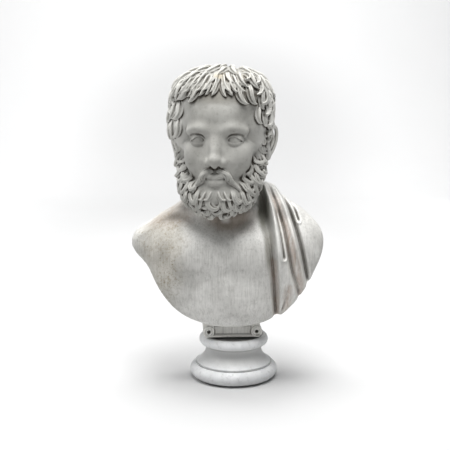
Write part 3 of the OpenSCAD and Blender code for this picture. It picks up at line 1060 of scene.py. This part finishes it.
class Nodes:
    """Short names for building a material's node tree."""

    def __init__(self, name):
        self.material = bpy.data.materials.new(name)
        self.material.use_nodes = True
        self.tree = self.material.node_tree
        self.shader = self.tree.nodes["Principled BSDF"]
        self.place = self.add("ShaderNodeTexCoord").outputs["Object"]

    def add(self, kind, inputs=(), **values):
        """A node with its inputs, by socket, and its settings, by name."""
        node = self.tree.nodes.new(kind)
        for key, value in values.items():
            setattr(node, key, value)
        for key, source in dict(inputs).items():
            self.link(source, node.inputs[key])
        return node

    def link(self, source, socket):
        """Feeds a socket from another node's, or sets it to a plain number or colour."""
        if isinstance(source, (int, float, tuple)):
            socket.default_value = source
        else:
            self.tree.links.new(source, socket)

    def noise(self, scale, detail=4.0, rough=0.55, stretch=(1, 1, 1), warp=0.0):
        mapping = self.add("ShaderNodeMapping", {"Scale": stretch, "Vector": self.place})
        node = self.add("ShaderNodeTexNoise", {
            "Scale": scale, "Detail": detail, "Roughness": rough, "Distortion": warp,
            "Vector": mapping.outputs["Vector"]})
        return node.outputs["Fac"]

    def ramp(self, source, low, high, start=0.0, end=1.0):
        """Maps low..high to start..end, held at the ends."""
        node = self.add("ShaderNodeMapRange", {
            "From Min": low, "From Max": high, "To Min": start, "To Max": end, "Value": source},
            interpolation_type="SMOOTHSTEP")
        return node.outputs["Result"]

    def math(self, operation, a, b=0.0):
        return self.add("ShaderNodeMath", {0: a, 1: b}, operation=operation).outputs["Value"]

    def mix(self, share, a, b):
        """Blends two colours, through the mix node's own colour sockets."""
        return self.add("ShaderNodeMix", {0: share, 6: a, 7: b}, data_type="RGBA").outputs[2]

    def value(self, name):
        return self.add("ShaderNodeAttribute", attribute_name=name).outputs["Fac"]

    def near(self, centre, radii):
        """1 close to a place in the row frame, in millimetres, falling to 0 at the radii."""
        mapping = self.add("ShaderNodeMapping", {
            "Location": tuple(c * MM for c in centre), "Scale": tuple(r * MM for r in radii),
            "Vector": self.place}, vector_type="TEXTURE")
        away = self.add("ShaderNodeVectorMath", {0: mapping.outputs["Vector"]}, operation="LENGTH")
        return self.ramp(away.outputs["Value"], 0.35, 1.0, 1.0, 0.0)

    def bump(self, height, strength, distance, under=None):
        node = self.add("ShaderNodeBump", {"Strength": strength, "Distance": distance, "Height": height})
        if under is not None:
            self.link(under, node.inputs["Normal"])
        return node.outputs["Normal"]

    def finish(self, **inputs):
        """Feeds the shader's sockets, named with underscores, and gives the material."""
        for key, source in inputs.items():
            self.link(source, self.shader.inputs[key.replace("_", " ")])
        return self.material


def stone(name, pale, grey, dirt_and_shade, hollows=1.0, streaks=0.0, stains_and_painted_light=(), reach=(0.03, 0.26), wear_and_highlight=1.12):
    """Honed marble: clouds of two tones, fine grain, dirt and painted shade in the hollows, and ridges made
    paler by wear and a painted highlight.

    streaks is the strength of the fine vertical tool marks. stains_and_painted_light are (centre, radii,
    colour, strength, speckles): real stains, and patches of painted light and painted shade; speckles is
    their scale, or 0 for a solid patch. reach is the span of hollowness over which dirt and painted shade
    thicken in hair or cloth, and wear_and_highlight is how much paler the ridges are, from wear and a painted
    highlight.
    """
    n = Nodes(name)
    clouds = n.ramp(n.noise(9, 5, 0.6, warp=0.6), 0.35, 0.65)
    grain = n.noise(420, 3, 0.6)
    lines = n.noise(1.0, 4, 0.75, stretch=(380, 380, 17))
    colour = n.mix(clouds, pale, grey)
    colour = n.mix(n.ramp(n.noise(110, 6, 0.7), 0.5, 0.75, 0.0, 0.25), colour, dirt_and_shade)
    veins = n.ramp(n.noise(1.0, 5, 0.7, stretch=(190, 190, 26)), 0.36, 0.62, 0.25, 1.0)
    colour = n.mix(n.math("MULTIPLY", n.value("stain"), veins), colour, RUST)
    if streaks:
        colour = n.mix(n.ramp(lines, 0.4, 0.76, 0.0, streaks), colour, dirt_and_shade)
    for centre, radii, tint, strength, speckles in stains_and_painted_light:
        place = n.near(centre, radii)
        if speckles:
            place = n.math("MULTIPLY", n.ramp(n.noise(speckles, 8, 0.8), 0.5, 0.66), place)
        colour = n.mix(n.math("MULTIPLY", place, strength), colour, tint)
    hollow, carved = n.value("hollow"), n.value("carved")
    patchy = n.ramp(n.noise(40, 4, 0.6), 0.2, 0.6, 0.75, 1.0)
    # Carved hair and cloth get dirt and painted shade in every groove, smooth skin only in its deep folds
    soil_and_shade = n.mix(carved, n.ramp(hollow, 0.04, 0.5, 0.0, 0.75 * hollows), n.ramp(hollow, *reach, 0.0, hollows))
    colour = n.mix(n.math("MULTIPLY", soil_and_shade, patchy), colour, dirt_and_shade)
    # Ridges made paler: partly wear, partly a painted highlight
    bright = tuple(min(c * wear_and_highlight, 1) for c in pale)
    colour = n.mix(n.ramp(n.value("ridge"), 0.1, 0.6, 0.0, 0.45 * wear_and_highlight ** 2), colour, bright)
    normal = n.bump(grain, 0.25, 0.0004)
    normal = n.bump(n.noise(90, 4, 0.6), 0.25, 0.0008, normal)
    if streaks:
        normal = n.bump(lines, 0.3, 0.0008, normal)
    return n.finish(Base_Color=colour, Roughness=n.ramp(n.noise(25, 3), 0.3, 0.7, 0.52, 0.72),
                    Specular_IOR_Level=0.35, Normal=normal)


def mortar():
    """Matt lime mortar with sand in it."""
    n = Nodes("lime_mortar")
    sand = n.noise(900, 4, 0.7)
    colour = n.mix(n.ramp(sand, 0.35, 0.65), rgb(190, 182, 164), rgb(150, 141, 122))
    return n.finish(Base_Color=colour, Roughness=0.95, Normal=n.bump(sand, 0.6, 0.0005))


def steel():
    """Stainless bar, brushed round its length."""
    n = Nodes("brushed_steel")
    rings = n.noise(1.0, 3, 0.6, stretch=(60, 60, 1600))
    colour = n.mix(n.ramp(rings, 0.3, 0.7), rgb(196, 197, 200), rgb(164, 166, 170))
    return n.finish(Base_Color=colour, Metallic=1.0, Roughness=n.ramp(rings, 0.3, 0.7, 0.28, 0.42),
                    Normal=n.bump(rings, 0.15, 0.0002))


def felt():
    """Pressed wool felt: matted fibres with a soft sheen."""
    n = Nodes("wool_felt")
    fibres = n.noise(700, 6, 0.8, warp=1.5)
    colour = n.mix(n.ramp(fibres, 0.35, 0.65), rgb(52, 60, 54), rgb(84, 92, 84))
    return n.finish(Base_Color=colour, Roughness=1.0, Sheen_Weight=0.4, Normal=n.bump(fibres, 0.8, 0.0006))


def rgb(r, g, b):
    """A colour given as the eye reads it, 0 to 255."""
    return tuple((c / 255) ** 2.2 for c in (r, g, b)) + (1.0,)


def paint(piece, material):
    if not piece.material_slots:
        piece.data.materials.append(material)
    for slot in piece.material_slots:
        slot.material = material


# ---- Studio ----

CAMERA_AZIMUTH = math.radians(-3)
CAMERA_DROP = math.radians(8.9)
CAMERA_LENS = 64.5
# Distance of the camera, and height of the point it looks at, in heights of the bust
CAMERA_AWAY = 2.575
CAMERA_AIM = 0.497
BACKDROP_GREY = (0.69, 0.71)


def place_camera():
    """Stands a little to the bare side and looks slightly down."""
    data = bpy.data.cameras.new("camera")
    data.lens = CAMERA_LENS
    data.sensor_width = 36
    cam = bpy.data.objects.new("camera", data)
    bpy.context.scene.collection.objects.link(cam)
    height = cad_high[2] - cad_low[2]
    aim = Vector(((cad_low[0] + cad_high[0]) / 2 - 0.0025, 0, height * CAMERA_AIM))
    back = Vector((math.sin(CAMERA_AZIMUTH) * math.cos(CAMERA_DROP),
                   -math.cos(CAMERA_AZIMUTH) * math.cos(CAMERA_DROP), math.sin(CAMERA_DROP)))
    cam.location = aim + back * height * CAMERA_AWAY
    cam.rotation_euler = back.to_track_quat("Z", "Y").to_euler()
    bpy.context.scene.camera = cam


def area_light(name, place, aim, size, power):
    data = bpy.data.lights.new(name, "AREA")
    data.shape = "DISK"
    data.size = size
    data.energy = power
    lamp = bpy.data.objects.new(name, data)
    bpy.context.scene.collection.objects.link(lamp)
    lamp.location = place
    lamp.rotation_euler = (Vector(place) - Vector(aim)).to_track_quat("Z", "Y").to_euler()


def build_sweep():
    """Floor and backdrop in one pale sheet that curves up behind the bust, with painted shade round it."""
    reach, bend, top = 8.0, 1.6, 7.0
    turn = np.linspace(0, math.pi / 2, 24)
    ys = [-reach, *(reach / 3 + bend * np.sin(turn)), reach / 3 + bend]
    zs = [0, *(bend - bend * np.cos(turn)), top]
    points = np.array([(x, y, z) for y, z in zip(ys, zs) for x in (-reach, reach)])
    rows = np.arange(len(ys) - 1) * 2
    sweep = mesh_object("sweep", points, np.stack([rows, rows + 1, rows + 3, rows + 2], -1))
    n = Nodes("sweep_paper")
    low, high = BACKDROP_GREY
    paper_and_shade = n.mix(n.noise(3, 2), (low, low, low, 1), (high, high, high, 1))
    # Painted shade: a soft grey halo on the floor round the bust, and a grey patch on the bend behind the
    # head
    for centre, radii, grey in (((0, 1000, 100), (1400, 3400, 2200), 0.5),
                                ((150, 3900, 250), (1200, 1900, 1000), 0.55)):
        paper_and_shade = n.mix(n.near(centre, radii), paper_and_shade, (grey, grey, grey, 1))
    paint(sweep, n.finish(Base_Color=paper_and_shade, Roughness=0.95))


def build_studio():
    build_sweep()
    world = bpy.data.worlds.new("world")
    bpy.context.scene.world = world
    world.use_nodes = True
    background = world.node_tree.nodes["Background"]
    background.inputs["Color"].default_value = (0.97, 0.985, 1, 1)
    background.inputs["Strength"].default_value = 0.26
    area_light("key", (0.0, -0.75, 2.5), (0, 0, 0.3), 1.5, 72)
    area_light("rim", (-1.5, 0.1, 1.3), (0, 0, 0.3), 0.7, 8)
    area_light("backdrop", (0, 0.9, 3.4), (0, 3.2, 0.8), 2.4, 175)
    bpy.context.scene.view_settings.view_transform = "Standard"


build_studio()
place_camera()

PALE = rgb(214, 213, 209)
GREY = rgb(181, 180, 176)
DIRT_AND_SHADE_BROWN = rgb(52, 45, 35)
MOSS = rgb(112, 100, 72)
RUST = rgb(150, 124, 106)
OCHRE = rgb(196, 176, 134)

paint(head_piece, stone("marble_head", rgb(168, 167, 162), rgb(141, 140, 135), DIRT_AND_SHADE_BROWN, 1.0, 0.0, [
    ((head_at[0], head_at[1] - 40, head_high[2]), (110, 100, 42), OCHRE, 0.55, 18),
    # Painted light: both sides of the head, hair and ears, made paler
    ((head_at[0] - 92, -20, head_at[2] + 10), (50, 130, 150), PALE, 0.5, 0),
    ((head_at[0] + 92, -20, head_at[2] + 10), (50, 130, 150), PALE, 0.5, 0),
    # Painted shade with some dirt: a grey band over the lower fringe and the top of the forehead under it
    ((head_at[0] - 6, head_at[1] - 80, head_at[2] + 80), (84, 60, 26), rgb(100, 96, 86), 0.6, 0),
# Ridges here are made paler still: wear and a stronger painted highlight
], (0.1, 0.6), 1.28))
paint(torso_piece, stone("marble_torso", PALE, GREY, DIRT_AND_SHADE_BROWN, 0.8, 0.3, [
    ((MIDLINE - 118, -20, 290), (90, 90, 80), MOSS, 0.6, 190),
    ((MIDLINE - 104, -50, 210), (36, 90, 90), MOSS, 0.8, 230),
    ((MIDLINE - 112, -40, 256), (60, 100, 120), MOSS, 0.33, 0),
    ((MIDLINE - 104, -40, 250), (66, 100, 130), MOSS, 0.5, 60),
    ((MIDLINE - 110, -10, 320), (90, 90, 40), RUST, 0.5, 40),
    ((MIDLINE - 110, -10, 320), (90, 90, 40), RUST, 0.2, 0),
    # Painted shadow under the beard: a solid warm brown patch, with dirt speckles over it
    ((MIDLINE + 6, -60, 318), (66, 80, 44), rgb(86, 68, 48), 0.75, 0),
    ((MIDLINE + 6, -60, 312), (80, 80, 60), DIRT_AND_SHADE_BROWN, 0.5, 14),
    # Dirt mottling and painted shade in the hollow below the breast muscles
    ((MIDLINE + 10, -100, 222), (36, 60, 22), DIRT_AND_SHADE_BROWN, 0.4, 12),
    # Painted shade with some dirt: dark bands down the deep groove between the chest and the cloak's hem
    ((52, -40, 330), (17, 90, 56), rgb(84, 83, 68), 0.75, 0),
    ((58, -80, 262), (12, 60, 50), rgb(96, 92, 78), 0.5, 0),
], (0.1, 0.85)))
paint(tablet_piece, stone("marble_tablet", rgb(220, 219, 214), rgb(186, 185, 179), DIRT_AND_SHADE_BROWN, 1.0, 0.3, [
    # Darker speckles along the foot of the tablet, over the ledge and the slot under it
    ((0, -60, 84), (90, 60, 12), DIRT_AND_SHADE_BROWN, 0.35, 60),
], (0.08, 0.6)))
paint(socle_piece, stone("marble_socle", rgb(226, 227, 227), rgb(202, 203, 204), DIRT_AND_SHADE_BROWN, 0.9, 0.0, [
    # Painted shade: the upright flare, between the foot and the top, darker grey
    ((0, 0, 50), (170, 170, 27), rgb(186, 186, 184), 0.8, 0),
]))
fixings = [
    (mortar(), ["neck_mortar", "torso_bed", "tablet_bed", "rod_grout"]),
    (steel(), ["neck_dowel", "torso_pins", "tablet_pins", "tie_rod", "flat_washer", "spring_washer",
               "hex_nut"]),
    (felt(), ["felt_pad"]),
]
for material, nodes in fixings:
    for node in nodes:
        paint(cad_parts[node], material)
